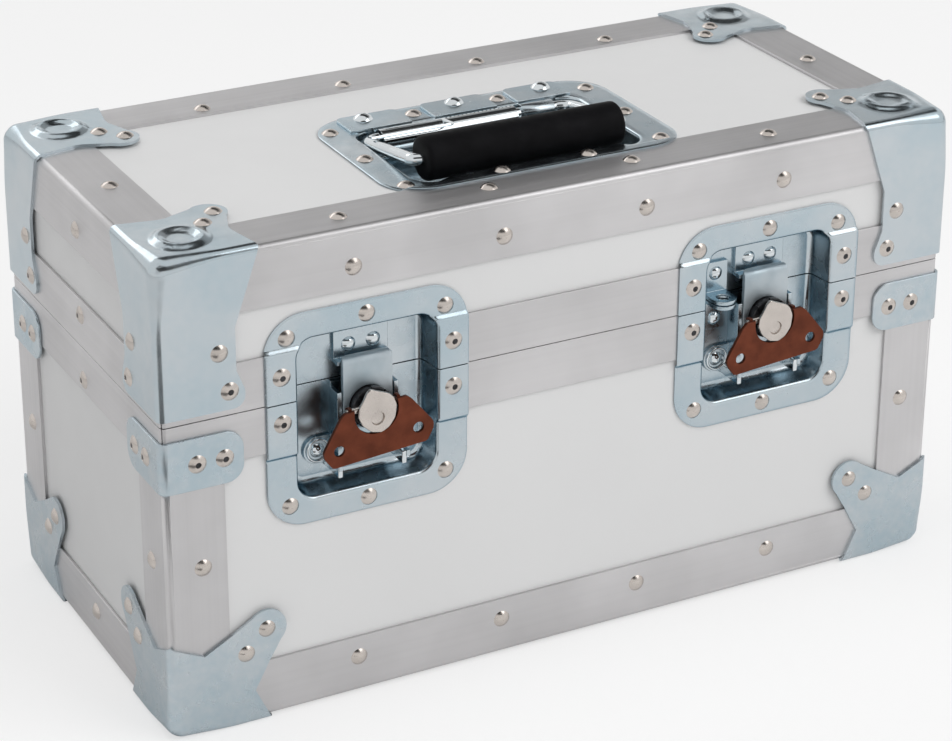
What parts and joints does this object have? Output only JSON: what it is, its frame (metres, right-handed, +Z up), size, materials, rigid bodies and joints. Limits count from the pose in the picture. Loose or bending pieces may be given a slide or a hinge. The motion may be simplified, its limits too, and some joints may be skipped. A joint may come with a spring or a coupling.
{
  "type": "telephoto lens case",
  "caption": "Riveted hard case for a long lens, with a hinged lid, twist latches with butterfly wings, a recessed sprung handle and a foam lens bay.",
  "frame": {"origin": "centre of the case's outline on the surface that it stands on", "axes": "+X along the front towards the latch with the padlock eye, -Y out of the front, +Z up"},
  "size_m": [0.432, 0.2095, 0.2604],
  "materials": {
    "laminate": "fine textured white laminate",
    "edge_aluminium": "satin warm-grey extrusion",
    "zinc_steel": "bluish zinc plating, pressed",
    "corner_steel": "bluish zinc plating, polished",
    "rivet_nickel": "nickel-plated rivet heads",
    "bright_plating": "bright nickel or chrome plating",
    "hub_nickel": "warm nickel plating",
    "wing_copper": "copper-brown anodised plate",
    "grip_rubber": "moulded black rubber",
    "foam": "dark grey open-cell foam"
  },
  "bodies": {
    "base": {"base_front_panel": "laminate", "base_back_panel": "laminate", "base_left_panel": "laminate", "base_right_panel": "laminate", "base_bottom_panel": "laminate", "base_posts": "edge_aluminium", "bottom_edge_front": "edge_aluminium", "bottom_edge_back": "edge_aluminium", "bottom_edge_left": "edge_aluminium", "bottom_edge_right": "edge_aluminium", "base_rim": "edge_aluminium", "bottom_corners": "zinc_steel", "rim_braces": "zinc_steel", "base_foam": "foam", "base_rivets": "rivet_nickel", "base_blind_rivets": "rivet_nickel", "base_small_rivets": "bright_plating", "hinge_base_leaves": "zinc_steel", "hinge_pins": "bright_plating", "left_lower_dish": "zinc_steel", "left_base_plate": "zinc_steel", "right_lower_dish": "zinc_steel", "right_base_plate": "zinc_steel", "lower_padlock_eye": "zinc_steel"},
    "lid": {"lid_front_panel": "laminate", "lid_back_panel": "laminate", "lid_left_panel": "laminate", "lid_right_panel": "laminate", "lid_top_panel": "laminate", "lid_posts": "edge_aluminium", "top_edge_front": "edge_aluminium", "top_edge_back": "edge_aluminium", "top_edge_left": "edge_aluminium", "top_edge_right": "edge_aluminium", "lid_rim": "edge_aluminium", "lid_corners": "corner_steel", "lid_foam": "foam", "lid_rivets": "rivet_nickel", "lid_blind_rivets": "rivet_nickel", "lid_small_rivets": "bright_plating", "hinge_lid_leaves": "zinc_steel", "left_upper_dish": "zinc_steel", "left_keeper": "zinc_steel", "right_upper_dish": "zinc_steel", "right_keeper": "zinc_steel", "upper_padlock_eye": "zinc_steel", "handle_dish": "zinc_steel", "handle_bracket": "zinc_steel"},
    "left_claw": {"left_claw": "zinc_steel"},
    "left_hub": {"left_hub": "hub_nickel", "left_wing_pin": "bright_plating"},
    "left_wing": {"left_wing": "wing_copper"},
    "right_claw": {"right_claw": "zinc_steel"},
    "right_hub": {"right_hub": "hub_nickel", "right_wing_pin": "bright_plating"},
    "right_wing": {"right_wing": "wing_copper"},
    "handle": {"handle_rod": "bright_plating", "handle_grip": "grip_rubber", "handle_spring": "bright_plating"}
  },
  "joints": [
    {"name": "lid_hinge", "type": "hinge", "parent": "base", "child": "lid", "pos_m": [0, 0.1025, 0.164], "axis": [-1, 0, 0], "range_deg": [0, 100]},
    {"name": "handle_swing", "type": "hinge", "parent": "lid", "child": "handle", "pos_m": [0, 0.0055, 0.24], "axis": [-1, 0, 0], "range_deg": [0, 80], "stiffness_Nm_per_rad": 0.06, "springref_deg": -28.65, "deforming": ["handle_spring"]},
    {"name": "left_hub_turn", "type": "hinge", "parent": "base", "child": "left_hub", "pos_m": [-0.1072, -0.0985, 0.1514], "axis": [0, -1, 0], "range_deg": [0, 180]},
    {"name": "left_wing_flip", "type": "hinge", "parent": "left_hub", "child": "left_wing", "pos_m": [-0.10732, -0.0989, 0.1529], "axis": [-0.9969, 0, -0.0785], "range_deg": [0, 90]},
    {"name": "left_claw_slide", "type": "slide", "parent": "base", "child": "left_claw", "axis": [0, -0.359, 0.9333], "range_m": [0, 0.00696]},
    {"name": "right_hub_turn", "type": "hinge", "parent": "base", "child": "right_hub", "pos_m": [0.1118, -0.0985, 0.1514], "axis": [0, -1, 0], "range_deg": [0, 180]},
    {"name": "right_wing_flip", "type": "hinge", "parent": "right_hub", "child": "right_wing", "pos_m": [0.11168, -0.0989, 0.1529], "axis": [-0.9969, 0, -0.0785], "range_deg": [0, 90]},
    {"name": "right_claw_slide", "type": "slide", "parent": "base", "child": "right_claw", "axis": [0, -0.359, 0.9333], "range_m": [0, 0.00696]}
  ],
  "couplings": [
    {"joint": "left_hub_turn", "follows": "left_claw_slide", "rad_per_m": 451.1},
    {"joint": "right_hub_turn", "follows": "right_claw_slide", "rad_per_m": 451.1}
  ]
}
